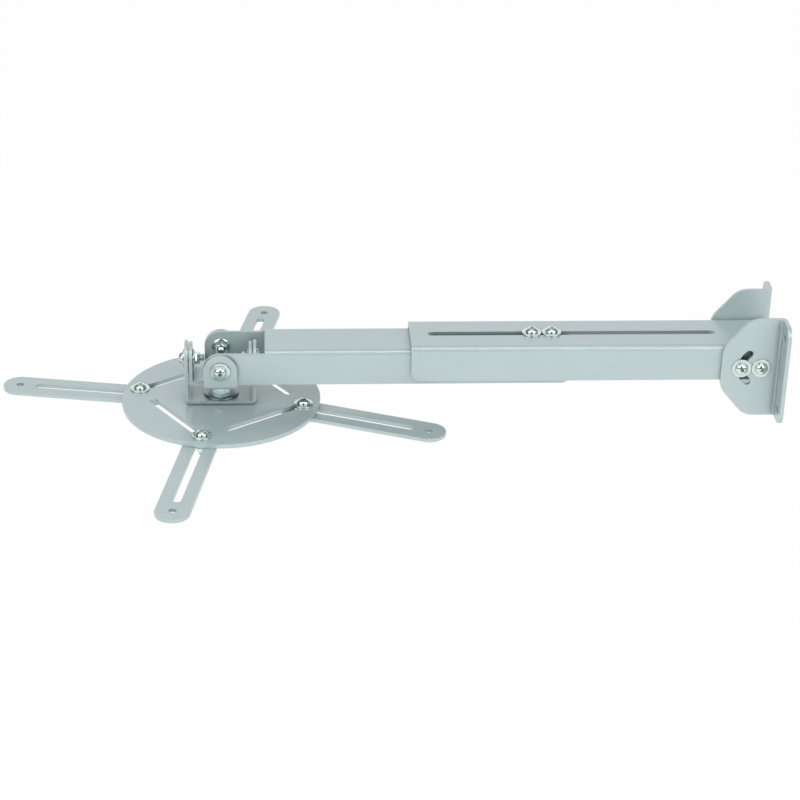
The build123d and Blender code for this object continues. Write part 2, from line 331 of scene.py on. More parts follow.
@dataclass(frozen=True)
class SlotShade:
    """Painted shade on the walls of a slot along the arm. Sizes are in millimetres.

    Args:
        start: Where the slot starts along the arm.
        end: Where the slot ends along the arm.
        half: Half its width.
        fade: Length of the painted shade's soft ends.
        depth: How far the painted shade covers the paint, from 0 to 1.
        past: Distances past a wall where the painted shade is still full and where it has ended.
        uneven: How far noise thins or thickens the painted shade.
    """

    start: float
    end: float
    half: float
    fade: float = 2.0
    depth: float = 0.42
    past: tuple[float, float] = (0.05, 0.25)
    uneven: float = 0.4

    def share(self, axes: Made, mottle: Wire) -> Wire:
        """Share of the painted shade over the paint.

        Args:
            axes: The piece's coordinates, one output for each axis.
            mottle: Noise that makes the painted shade uneven.

        Returns:
            About the painted shade's depth on the walls and 0 elsewhere.
        """
        along, across = axes.wire("X"), axes.wire("Y")
        run = along.ramp(self.start * MM, (self.start + self.fade) * MM)
        run = run * along.ramp((self.end - self.fade) * MM, self.end * MM, 1.0, 0.0)
        low, high = ((self.half + past) * MM for past in self.past)
        walls = (across * across).ramp(low**2, high**2, self.depth, 0.0)
        return run * walls * (1.0 - self.uneven / 2 + self.uneven * mottle)


@dataclass(frozen=True)
class SilverPaint:
    """Silver paint with a thin gloss on folded sheet steel, and painted shade in its crevices and round its neighbours.

    Args:
        name: Name of the material.
        light: Colour where the coat is full.
        shade: Colour where the coat is thin.
        roughness: Middle roughness of the flake layer.
        metallic: Share of flake in the coat.
        gloss: Middle weight of the clear top layer.
        gloss_roughness: Roughness of the clear top layer.
        painted_shade: Colour of the painted shade in crevices, between parts, round pivots and in the long slot.
        reach: How far the painted shade spreads from a crevice, in millimetres.
        alone: Whether the painted shade comes from the sheet's own hollows only. It does on a sheet that slides or
            turns against
        others, so that no painted shade of its neighbours is left behind.
        marks: Patches of painted shade and painted shadow over the paint.
        looks: Number of rays that look for a crevice.
        cloud_scale: Clouds of thin and full coat per metre.
        mottle_scale: Spots of mottle per metre.
        flake_scale: Flakes per metre.
        peel_scale: Ripples of orange peel per metre.
        grit_scale: Grains per metre.
        wipe_scale: Wiping streaks per metre along each axis.
        bump: Strength of peel and grit.
        bump_height: Their height, in millimetres.
    """

    name: str = "silver_satin_paint"
    light: Colour = (0.418, 0.503, 0.510)
    shade: Colour = (0.394, 0.475, 0.482)
    roughness: float = 0.335
    metallic: float = 0.35
    gloss: float = 0.50
    gloss_roughness: float = 0.08
    painted_shade: Colour = (0.050, 0.064, 0.067)
    reach: float = 8.0
    alone: bool = True
    marks: tuple[ShadeRing | SlotShade, ...] = ()
    looks: int = 8
    cloud_scale: float = 16.0
    mottle_scale: float = 230.0
    flake_scale: float = 2400.0
    peel_scale: float = 620.0
    grit_scale: float = 2600.0
    wipe_scale: Point = (20.0, 300.0, 300.0)
    bump: float = 0.03
    bump_height: float = 0.10

    def thinned_highlit(self) -> SilverPaint:
        """Thins the paint along punched edges and lightens it there as a painted highlight.

        Returns:
            The same paint, thin and lightened as a painted highlight.
        """
        return replace(
            self,
            name=f"thinned_highlit_{self.name}",
            light=(0.56, 0.65, 0.655),
            shade=(0.44, 0.525, 0.53),
            metallic=0.6,
        )

    def build(self) -> bpy.types.Material:
        """Makes the material.

        Returns:
            The material, ready for a slot.
        """
        material, graph = new_material(self.name)
        place = graph.object_place()
        cloud = graph.noise(place, self.cloud_scale)
        mottle = graph.noise(place, self.mottle_scale, 3.0, 0.6)
        flake = graph.node("ShaderNodeTexVoronoi", {}, {"Vector": place, "Scale": self.flake_scale}).wire("Color")
        flake_value = graph.node("ShaderNodeSeparateColor", {}, {"Color": flake}).wire(0)
        wipe = graph.noise(graph.scaled(place, self.wipe_scale), 1.0, 3.0, 0.55)
        cover = 0.45 * cloud + 0.35 * mottle + 0.20 * flake_value
        coat = graph.blend(cover.ramp(0.30, 0.66), self.shade, self.light)
        # Painted shade: the colour darkens towards the painted shade colour where ambient occlusion finds a crevice or
        # a nearby part.
        hollows = {"samples": self.looks, "only_local": self.alone}
        open_air = graph.node("ShaderNodeAmbientOcclusion", hollows, {"Distance": self.reach * MM}).wire("AO")
        colour = graph.blend((open_air + 0.08 * mottle).ramp(0.30, 0.94), self.painted_shade, coat)
        axes = graph.node("ShaderNodeSeparateXYZ", {}, {0: place})
        # Patches of painted shade and painted shadow darken the colour further.
        for mark in self.marks:
            colour = graph.blend(mark.share(axes, mottle), colour, self.painted_shade)
        peel = graph.noise(place, self.peel_scale)
        grit = graph.noise(place, self.grit_scale, 1.0)
        relief = {"Strength": self.bump, "Distance": self.bump_height * MM, "Height": peel * 0.7 + grit * 0.3}
        bump = graph.node("ShaderNodeBump", {}, relief)
        rough = (0.6 * mottle + 0.4 * wipe).ramp(0.25, 0.75, self.roughness - 0.05, self.roughness + 0.07)
        gloss = (0.5 * cloud + 0.5 * wipe).ramp(0.25, 0.75, self.gloss + 0.15, self.gloss - 0.15)
        shader = graph.node(
            "ShaderNodeBsdfPrincipled",
            {},
            {
                "Base Color": colour,
                "Metallic": self.metallic,
                "Roughness": rough,
                "Coat Weight": gloss,
                "Coat Roughness": self.gloss_roughness,
                "Normal": bump.wire(),
            },
        )
        graph.node("ShaderNodeOutputMaterial", {}, {"Surface": shader.wire()})
        return material


@dataclass(frozen=True)
class ZincPlate:
    """Bright zinc plate on screws, washers and nuts, with painted shade in their grooves.

    Args:
        name: Name of the material.
        pale: Cooler tint of the plate.
        warm: Warmer tint of the plate.
        dark: Colour of the painted shade in grooves.
        roughness: Middle roughness of the plate.
        groove_shade_roughness: Roughness added where the grooves are painted in shade.
        tint_scale: Patches of tint per metre.
        fleck_scale: Flecks per metre.
        bump: Strength of the flecks' relief.
        bump_height: Height of the flecks, in millimetres.
    """

    name: str = "bright_zinc_plate"
    pale: Colour = (0.72, 0.83, 0.80)
    warm: Colour = (0.70, 0.80, 0.76)
    dark: Colour = (0.250, 0.300, 0.280)
    roughness: float = 0.11
    groove_shade_roughness: float = 0.3
    tint_scale: float = 260.0
    fleck_scale: float = 1500.0
    bump: float = 0.10
    bump_height: float = 0.06

    def shaded_copy(self) -> ZincPlate:
        """Darkens the plate as painted shade, for the swivel's flat washers.

        Returns:
            The same plate, darker and rougher.
        """
        return replace(
            self, name="shaded_zinc_plate", pale=(0.30, 0.36, 0.37), warm=(0.27, 0.32, 0.32), roughness=0.24
        )

    def build(self) -> bpy.types.Material:
        """Makes the material.

        Returns:
            The material, ready for a slot.
        """
        material, graph = new_material(self.name)
        place = graph.object_place()
        tint = graph.noise(place, self.tint_scale)
        fleck = graph.noise(place, self.fleck_scale, 2.0, 0.6)
        # Painted shade: the plate darkens where the grooves are marked, in recesses, threads, bores and under heads.
        groove = graph.node("ShaderNodeAttribute", {"attribute_name": "groove"}).wire("Fac")
        plate = graph.blend(tint.ramp(0.35, 0.65), self.pale, self.warm)
        groove_shaded = (groove * (0.75 + 0.5 * fleck)).ramp(0.0, 1.0)
        colour = graph.blend(groove_shaded, plate, self.dark)
        rough = fleck.ramp(0.3, 0.7, self.roughness - 0.05, self.roughness + 0.08)
        rough = rough + groove * self.groove_shade_roughness
        relief = {"Strength": self.bump, "Distance": self.bump_height * MM, "Height": fleck}
        bump = graph.node("ShaderNodeBump", {}, relief)
        shader = graph.node(
            "ShaderNodeBsdfPrincipled",
            {},
            {"Base Color": colour, "Metallic": 1.0, "Roughness": rough, "Normal": bump.wire()},
        )
        graph.node("ShaderNodeOutputMaterial", {}, {"Surface": shader.wire()})
        return material


@dataclass(frozen=True)
class Span:
    """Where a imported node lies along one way, in metres.

    Args:
        facing: The way that is measured along.
        middle: Middle of the node's box.
        low: The node's lowest place along the way.
        high: The node's highest place along the way.
        width: The node's largest width across the way.
    """

    facing: Facing
    middle: Vector
    low: float
    high: float
    width: float

    @classmethod
    def of(cls, node: str, facing: Facing) -> Span:
        """Measures a node.

        Args:
            node: The node's name.
            facing: The way to measure along.

        Returns:
            The node's span.
        """
        low, high = (Vector(corner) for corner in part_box(node))
        axis = facing.axis
        ends = sorted((low.dot(axis), high.dot(axis)))
        size = high - low
        across = size - Vector(abs(part) * length for part, length in zip(axis, size))
        return cls(facing, (low + high) / 2, ends[0], ends[1], max(across))

    @property
    def length(self) -> float:
        """Length along the way, in millimetres."""
        return (self.high - self.low) / MM

    @property
    def radius(self) -> float:
        """Half the width, in millimetres."""
        return self.width / 2 / MM

    def at(self, along: float) -> Vector:
        """Point on the node's middle line at a place along the way."""
        axis = self.facing.axis
        return self.middle + axis * (along - self.middle.dot(axis))


@dataclass
class Workshop:
    """Makes templates once and copies them to where nodes are.

    Args:
        zinc: Material of the fasteners.
        shaded_zinc: Material of the swivel's flat washers, the zinc plate darkened as painted shade.
        sharp_angle: Angle past which a fastener's edge is shaded sharp, in degrees.
        made: Names of the pieces made so far.
        stock: Templates made so far, by name.
    """

    zinc: bpy.types.Material
    shaded_zinc: bpy.types.Material
    sharp_angle: float = 32.0
    made: list[str] = field(default_factory=list)
    stock: dict[str, bpy.types.Mesh] = field(default_factory=dict)

    def template(self, name: str, make: Callable[[], bmesh.types.BMesh]) -> bpy.types.Mesh:
        """Takes a template from stock, or makes it.

        Args:
            name: The template's name.
            make: Makes its working mesh.

        Returns:
            The template.
        """
        if name not in self.stock:
            self.stock[name] = keep(make(), name)
        return self.stock[name]

    def place(
        self,
        template: bpy.types.Mesh,
        node: str,
        seat: Vector,
        axis: Vector,
        turn: float = 0.0,
        finish: bpy.types.Material | None = None,
    ) -> None:
        """Copies a template to where a node is and lets it stand for that node.

        Args:
            template: Mesh with its seat at the origin and its axis along Z.
            node: Name of the node that it stands for.
            seat: Point that the template's origin goes to.
            axis: Way that the template's Z goes.
            turn: Turn about its own axis, in degrees.
            finish: Its material, which is bright zinc where none is given.
        """
        mesh = bmesh.new()
        mesh.from_mesh(template)
        turned = Matrix.Rotation(math.radians(turn), 4, "Z")
        matrix = Matrix.Translation(seat) @ axis.to_track_quat("Z", "Y").to_matrix().to_4x4() @ turned
        bmesh.ops.transform(mesh, matrix=matrix, verts=mesh.verts)
        data = keep(mesh, f"{node}_fine")
        data.polygons.foreach_set("use_smooth", [True] * len(data.polygons))
        data.set_sharp_from_angle(angle=math.radians(self.sharp_angle))
        data.materials.append(finish or self.zinc)
        piece = bpy.data.objects.new(f"{node}_fine", data)
        bpy.context.scene.collection.objects.link(piece)
        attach(piece, bpy.data.objects[node]["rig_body"])
        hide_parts(node)
        self.made.append(piece.name)


def keep(mesh: bmesh.types.BMesh, name: str) -> bpy.types.Mesh:
    """Turns a working mesh into mesh data.

    Args:
        mesh: The working mesh, which is freed.
        name: Name of the mesh data.

    Returns:
        The mesh data.
    """
    data = bpy.data.meshes.new(name)
    mesh.to_mesh(data)
    mesh.free()
    return data


def combine(mesh: bmesh.types.BMesh, tool: bmesh.types.BMesh, operation: str) -> bmesh.types.BMesh:
    """Cuts a closed mesh with another, or joins the two.

    Args:
        mesh: The working mesh, which is freed.
        tool: The mesh that cuts it or joins it, which is freed too.
        operation: DIFFERENCE or UNION.

    Returns:
        The result, as one closed mesh.
    """
    things = [bpy.data.objects.new(name, keep(part, name)) for name, part in (("blank", mesh), ("tool", tool))]
    for thing in things:
        bpy.context.scene.collection.objects.link(thing)
    blank, other = things
    boolean = blank.modifiers.new("combine", "BOOLEAN")
    boolean.operation = operation
    boolean.solver = "EXACT"
    boolean.use_self = True
    boolean.object = other
    bpy.context.view_layer.update()
    result = bpy.data.meshes.new_from_object(blank.evaluated_get(bpy.context.evaluated_depsgraph_get()))
    for thing in things:
        bpy.data.objects.remove(thing)
    combined = bmesh.new()
    combined.from_mesh(result)
    return combined


def round_edges(mesh: bmesh.types.BMesh, edges: list[bmesh.types.BMEdge], width: float) -> None:
    """Rounds edges of a working mesh.

    Args:
        mesh: The working mesh.
        edges: The edges to round.
        width: Width of the rounding, in millimetres.
    """
    bmesh.ops.bevel(
        mesh,
        geom=edges,
        offset=width * MM,
        offset_type="OFFSET",
        affect="EDGES",
        segments=3,
        profile=0.5,
        material=-1,
    )


def mark_groove_shade(mesh: bmesh.types.BMesh, groove_shade: Callable[[float, float], float]) -> None:
    """Notes on each vertex how much painted shade it gets.

    Args:
        mesh: The working mesh.
        groove_shade: Painted shade from 0 to 1 at a radius and a height, both in millimetres.
    """
    groove = mesh.verts.layers.float.new("groove")
    for vert in mesh.verts:
        vert[groove] = groove_shade(Vector((vert.co.x, vert.co.y)).length / MM, vert.co.z / MM)


@dataclass
class Lathe:
    """A turned shape from a half outline.

    Args:
        outline: Radius and height of each corner, in millimetres, from the top of the axis to its foot.
        steps: Number of facets round the shape.
    """

    outline: Outline
    steps: int = 40

    def shape(self) -> bmesh.types.BMesh:
        """Spins the outline about Z.

        Returns:
            A closed mesh in metres.
        """
        mesh = bmesh.new()
        corners = [mesh.verts.new((radius * MM, 0.0, height * MM)) for radius, height in self.outline]
        for first, second in zip(corners, corners[1:]):
            mesh.edges.new((first, second))
        bmesh.ops.spin(
            mesh,
            geom=mesh.verts[:] + mesh.edges[:],
            cent=(0.0, 0.0, 0.0),
            axis=(0.0, 0.0, 1.0),
            angle=math.tau,
            steps=self.steps,
            use_merge=True,
        )
        bmesh.ops.remove_doubles(mesh, verts=mesh.verts, dist=SAME_PLACE)
        bmesh.ops.dissolve_degenerate(mesh, edges=mesh.edges, dist=NO_LENGTH)
        bmesh.ops.recalc_face_normals(mesh, faces=mesh.faces)
        return mesh


@dataclass
class PanScrew:
    """Pan-head machine screw with a cross recess, its seat at Z = 0 and its head above.

    Sizes are in millimetres. The thread's root and crest are shares of its pitch, and painted shade goes from 0 to 1.
    """

    head_radius: float = 4.75
    head_height: float = 3.7
    head_wall: float = 0.5
    dome_steps: int = 12
    seat_break: float = 0.25
    shank_radius: float = 2.5
    thread_pitch: float = 0.8
    thread_depth: float = 0.42
    thread_root: float = 0.5
    thread_crest: float = 0.9
    thread_run: float = 9.0
    plain_run: float = 1.0
    tip_chamfer: float = 0.6
    recess_span: float = 4.5
    recess_width: float = 1.1
    recess_depth: float = 1.9
    recess_mouth: float = 1.0
    recess_taper: float = 0.5
    recess_groove_shade: float = 1.0
    recess_margin: tuple[float, float] = (0.4, 0.75)
    thread_groove_shade: float = 0.6
    seat_groove_shade: float = 0.45
    seat_reach: float = 0.1

    def head_outline(self) -> Outline:
        """Half outline of the domed head.

        Returns:
            Radius and height of each corner, from the top down to the seat.
        """
        dome = self.head_height - self.head_wall
        corners = [(0.0, self.head_height)]
        for step in range(1, self.dome_steps + 1):
            angle = math.pi / 2 * step / self.dome_steps
            corners.append((self.head_radius * math.sin(angle), self.head_wall + dome * math.cos(angle)))
        corners.append((self.head_radius, self.seat_break))
        corners.append((self.head_radius - self.seat_break, 0.0))
        return corners

    def shank_outline(self, length: float) -> Outline:
        """Half outline of the shank, its thread and its tip.

        Args:
            length: Length of the shank below its seat.

        Returns:
            Radius and height of each corner.
        """
        crest, root = self.shank_radius, self.shank_radius - self.thread_depth
        turns = int((min(self.thread_run, length - self.plain_run) - self.tip_chamfer) / self.thread_pitch)
        start = self.tip_chamfer + turns * self.thread_pitch - length
        corners = [(crest, 0.0), (crest, start)]
        for turn in range(turns):
            top = start - turn * self.thread_pitch
            corners.append((root, top - self.thread_root * self.thread_pitch))
            corners.append((crest, top - self.thread_crest * self.thread_pitch))
            corners.append((crest, top - self.thread_pitch))
        return corners + [(crest - self.tip_chamfer, -length), (0.0, -length)]

    def recess_cutter(self) -> bmesh.types.BMesh:
        """Two crossed wedges that taper downwards.

        Returns:
            The wedges' working mesh, with their mouth above the head.
        """
        cutter = bmesh.new()
        height = self.recess_depth + self.recess_mouth
        middle = (self.head_height + self.recess_mouth - height / 2) * MM
        for span, width in ((self.recess_span, self.recess_width), (self.recess_width, self.recess_span)):
            wedge = bmesh.ops.create_cube(cutter, size=MM)["verts"]
            bmesh.ops.scale(cutter, vec=(span, width, height), verts=wedge)
            bmesh.ops.translate(cutter, vec=(0.0, 0.0, middle), verts=wedge)
            foot = [vert for vert in wedge if vert.co.z < middle]
            bmesh.ops.scale(cutter, vec=(self.recess_taper, self.recess_taper, 1.0), verts=foot)
        bmesh.ops.recalc_face_normals(cutter, faces=cutter.faces)
        return cutter

    def shape(self, length: float) -> bmesh.types.BMesh:
        """Turns the screw, cuts its recess and marks its grooves.

        Args:
            length: Length of the shank below its seat.

        Returns:
            The screw's working mesh.
        """
        turned = Lathe(self.head_outline() + self.shank_outline(length)).shape()
        mesh = combine(turned, self.recess_cutter(), "DIFFERENCE")
        mark_groove_shade(mesh, self.groove_shade)
        return mesh

    def groove_shade(self, radius: float, height: float) -> float:
        """Painted shade in the recess, in the thread and under the head.

        Args:
            radius: Distance from the screw's axis.
            height: Height above its seat.

        Returns:
            The painted shade, from 0 to 1.
        """
        margin_edge, margin_top = self.recess_margin
        if 0.0 < height < self.head_height - margin_top and radius < self.recess_span / 2 - margin_edge:
            return self.recess_groove_shade
        if height < -self.seat_reach and radius < self.shank_radius - self.thread_depth / 2:
            return self.thread_groove_shade
        return self.seat_groove_shade if abs(height) < self.seat_reach else 0.0


@dataclass
class PlainWasher:
    """Flat washer with broken edges, standing on Z = 0. Sizes are in millimetres and its angle in degrees."""

    radius: float
    bore: float
    thickness: float
    edge: float = 0.22
    sharp_angle: float = 60.0
    facets: int = 48
    bore_groove_shade: float = 0.7
    groove_shade_reach: float = 0.5

    def shape(self) -> bmesh.types.BMesh:
        """Turns the washer and breaks its edges.

        Returns:
            The washer's working mesh.
        """
        inside, outside, top = self.bore, self.radius, self.thickness
        outline = [(inside, 0.0), (outside, 0.0), (outside, top), (inside, top), (inside, 0.0)]
        mesh = Lathe(outline, self.facets).shape()
        sharp = math.radians(self.sharp_angle)
        round_edges(mesh, [edge for edge in mesh.edges if edge.calc_face_angle(0.0) > sharp], self.edge)
        # Painted shade round the bore.
        mark_groove_shade(mesh, lambda radius, height: self.bore_groove_shade if radius < inside + self.groove_shade_reach else 0.0)
        return mesh


@dataclass
class HexNut:
    """Hexagon nut, with or without a round flange, standing on Z = 0.

    Sizes are in millimetres. Each corner of the flange's rim has its distance in from the flange's radius and its share
    of the flange's height. The foot of the slope above is out from the hexagon and up from the flange.
    """

    flats: float
    bore: float
    flange_radius: float = 0.0
    flange_height: float = 0.0
    flange_rise: float = 0.9
    flange_rim: tuple[tuple[float, float], ...] = ((0.25, 0.0), (0.0, 0.3), (0.08, 0.6), (0.4, 0.8))
    slope_foot: tuple[float, float] = (0.35, 0.3)
    lip: float = 0.35
    countersink: float = 0.4
    facets: int = 48
    bore_groove_shade: float = 0.8
    groove_shade_reach: float = 0.1

    def hexagon(self, angle: float) -> float:
        """Radius of the hexagon at an angle."""
        return self.flats / 2 / math.cos(angle % (2 * HALF_SIDE) - HALF_SIDE)

    def rings(self, height: float) -> list[Ring]:
        """Rings of the nut's skin, from the foot of the bore round to its top.

        Args:
            height: Height of the nut.

        Returns:
            For each ring, its radius and height at an angle.
        """
        rim, flange, crown = self.flange_radius, self.flange_height, self.flats / 2 - self.lip
        low = flange + self.flange_rise if rim else 0.0
        slope = math.tan(HALF_SIDE)
        skin: list[Ring] = []
        if rim:
            out, up = self.slope_foot
            for inset, share in self.flange_rim:
                skin.append(lambda angle, inset=inset, share=share: (rim - inset, share * flange))
            skin.append(lambda angle: (self.hexagon(angle) + out, flange + up))
        skin += [
            lambda angle: (self.hexagon(angle), low),
            lambda angle: (self.hexagon(angle), height - slope * (self.hexagon(angle) - crown)),
            lambda angle: (crown, height),
            lambda angle: (self.bore + self.countersink, height),
            lambda angle: (self.bore, height - self.countersink),
        ]
        return skin

    def shape(self, height: float) -> bmesh.types.BMesh:
        """Grows the nut's skin ring by ring and closes its bore.

        Args:
            height: Height of the nut.

        Returns:
            The nut's working mesh.
        """
        mesh = bmesh.new()
        bmesh.ops.create_circle(mesh, segments=self.facets, radius=self.bore * MM)
        foot = mesh.edges[:]
        edge_ring = foot
        for ring in self.rings(height):
            grown = bmesh.ops.extrude_edge_only(mesh, edges=edge_ring)["geom"]
            for vert in (item for item in grown if isinstance(item, bmesh.types.BMVert)):
                angle = math.atan2(vert.co.y, vert.co.x)
                radius, level = ring(angle)
                vert.co = Vector((radius * math.cos(angle), radius * math.sin(angle), level)) * MM
            edges = [item for item in grown if isinstance(item, bmesh.types.BMEdge)]
            edge_ring = [edge for edge in edges if len(edge.link_faces) == 1]
        bmesh.ops.bridge_loops(mesh, edges=foot + edge_ring)
        bmesh.ops.recalc_face_normals(mesh, faces=mesh.faces)
        # Painted shade round the bore.
        mark_groove_shade(mesh, lambda radius, level: self.bore_groove_shade if radius < self.bore + self.groove_shade_reach else 0.0)
        return mesh


@dataclass
class FastenerSet:
    """One screw with its washer and flange nut.

    Args:
        name: Stem of the three nodes' names.
        facing: Way that the screw's head faces.
        turn: Turn of the cross recess, in degrees.
    """

    name: str
    facing: Facing
    turn: float = 0.0

    def build(self, shop: Workshop, screw: PanScrew, bore: float, nut: HexNut) -> None:
        """Makes the three pieces.

        Args:
            shop: Where the pieces are made.
            screw: The screw's sizes.
            bore: Radius of the washer's hole, in millimetres.
            nut: The nut's sizes.
        """
        axis = self.facing.axis
        ring = Span.of(f"{self.name}_washer", self.facing)
        washer = PlainWasher(ring.radius, bore, ring.length)
        template = shop.template(f"washer_{ring.length:.2f}", washer.shape)
        shop.place(template, f"{self.name}_washer", ring.at(ring.low), axis)
        shank = Span.of(f"{self.name}_screw", self.facing)
        length = shank.length - screw.head_height
        template = shop.template(f"screw_{length:.2f}", partial(screw.shape, length))
        shop.place(template, f"{self.name}_screw", shank.at(ring.high), axis, self.turn)
        hexagon = Span.of(f"{self.name}_nut", self.facing)
        template = shop.template(f"flange_nut_{hexagon.length:.2f}", partial(nut.shape, hexagon.length))
        shop.place(template, f"{self.name}_nut", hexagon.at(hexagon.high), -axis, self.turn)


@dataclass
class Fasteners:
    """All screws, washers and nuts of the mount, and the swivel bolt.

    Sizes are in millimetres and the swivel nut's turn is in degrees. A flat washer's edge is at most ring_edge, and on
    a thin one at most ring_edge_share of its thickness.
    """

    washer_bore: float = 2.75
    nut_flats: float = 8.0
    nut_bore: float = 2.52
    flange_radius: float = 7.0
    flange_height: float = 1.2
    bolt_flats: float = 13.0
    bolt_radius: float = 4.0
    bolt_head: float = 5.3
    bolt_edge: float = 0.7
    bolt_pitch: float = 1.25
    bolt_thread: float = 0.65
    bolt_overlap: float = 0.5
    bolt_play: float = 0.25
    thread_play: float = 0.04
    nut_turn: float = 30.0
    ring_edge: float = 0.3
    ring_edge_share: float = 0.2

    def sets(self) -> list[FastenerSet]:
        """Lists every screw with its washer and nut.

        Returns:
            The sets, in the order in which they are made.
        """
        return [
            FastenerSet("tilt_pivot_front", Facing.FRONT, 20.0),
            FastenerSet("tilt_lock_front", Facing.FRONT, -28.0),
            FastenerSet("tilt_pivot_back", Facing.BACK, 35.0),
            FastenerSet("tilt_lock_back", Facing.BACK, 8.0),
            FastenerSet("length_lock_1", Facing.UP, 12.0),
            FastenerSet("length_lock_2", Facing.UP, -6.0),
            FastenerSet("pitch_front", Facing.FRONT, 5.0),
            FastenerSet("pitch_back", Facing.BACK, 25.0),
            FastenerSet("roll_left", Facing.LEFT, 2.0),
            FastenerSet("roll_right", Facing.RIGHT, -20.0),
            FastenerSet("clamp_left", Facing.UP, 18.0),
            FastenerSet("clamp_front", Facing.UP, -15.0),
            FastenerSet("clamp_right", Facing.UP, 30.0),
            FastenerSet("clamp_rear", Facing.UP, 4.0),
        ]

    def build(self, shop: Workshop) -> None:
        """Makes every fastener.

        Args:
            shop: Where the pieces are made.
        """
        nut = HexNut(self.nut_flats, self.nut_bore, self.flange_radius, self.flange_height)
        for fasteners in self.sets():
            fasteners.build(shop, PanScrew(), self.washer_bore, nut)
        for node in ("length_lock_1_spacer", "length_lock_2_spacer"):
            self._flat_ring(shop, node, self.washer_bore, shop.zinc)
        # The swivel's flat washers take the zinc plate darkened as painted shade.
        for node in ("swivel_top_washer", "swivel_washer"):
            self._flat_ring(shop, node, self.bolt_radius + self.bolt_play, shop.shaded_zinc)
        self._swivel(shop)

    def _flat_ring(self, shop: Workshop, node: str, bore: float, finish: bpy.types.Material) -> None:
        """Makes a washer that lies flat.

        Args:
            shop: Where the piece is made.
            node: The node that it stands for.
            bore: Radius of its hole, in millimetres.
            finish: Its material.
        """
        span = Span.of(node, Facing.UP)
        edge = min(self.ring_edge, self.ring_edge_share * span.length)
        ring = PlainWasher(span.radius, bore, span.length, edge)
        template = shop.template(f"ring_{node}", ring.shape)
        shop.place(template, node, span.at(span.low), Facing.UP.axis, finish=finish)

    def _swivel(self, shop: Workshop) -> None:
        """Makes the swivel nut and the bolt.

        Args:
            shop: Where the pieces are made.
        """
        span = Span.of("swivel_nut", Facing.UP)
        nut = HexNut(self.bolt_flats, self.bolt_radius + self.thread_play, lip=0.5, countersink=0.6)
        template = shop.template("swivel_nut_template", partial(nut.shape, span.length))
        shop.place(template, "swivel_nut", span.at(span.low), Facing.UP.axis, self.nut_turn)
        span = Span.of("swivel_bolt", Facing.DOWN)
        length = span.length - self.bolt_head
        template = shop.template("swivel_bolt_template", partial(self._bolt, length))
        shop.place(template, "swivel_bolt", span.at(span.high - self.bolt_head * MM), Facing.DOWN.axis)

    def _bolt(self, length: float) -> bmesh.types.BMesh:
        """Hexagon bolt with its head above Z = 0 and its shank below.

        Args:
            length: Length of the shank.

        Returns:
            The bolt's working mesh.
        """
        corner = self.bolt_flats / 2 / math.cos(HALF_SIDE)
        mesh = bmesh.new()
        bmesh.ops.create_cone(
            mesh,
            cap_ends=True,
            segments=6,
            radius1=corner * MM,
            radius2=corner * MM,
            depth=self.bolt_head * MM,
            matrix=Matrix.Translation((0.0, 0.0, self.bolt_head * MM / 2)),
        )
        middle = self.bolt_head * MM / 2
        rim = [edge for edge in mesh.edges if all(vert.co.z > middle for vert in edge.verts)]
        round_edges(mesh, rim, self.bolt_edge)
        screw = PanScrew(
            shank_radius=self.bolt_radius, thread_pitch=self.bolt_pitch, thread_depth=self.bolt_thread
        )
        inside_head = [(0.0, self.bolt_overlap), (self.bolt_radius, self.bolt_overlap)]
        shank = Lathe(inside_head + screw.shank_outline(length)[1:]).shape()
        bolt = combine(mesh, shank, "UNION")
        mark_groove_shade(bolt, screw.groove_shade)
        return bolt


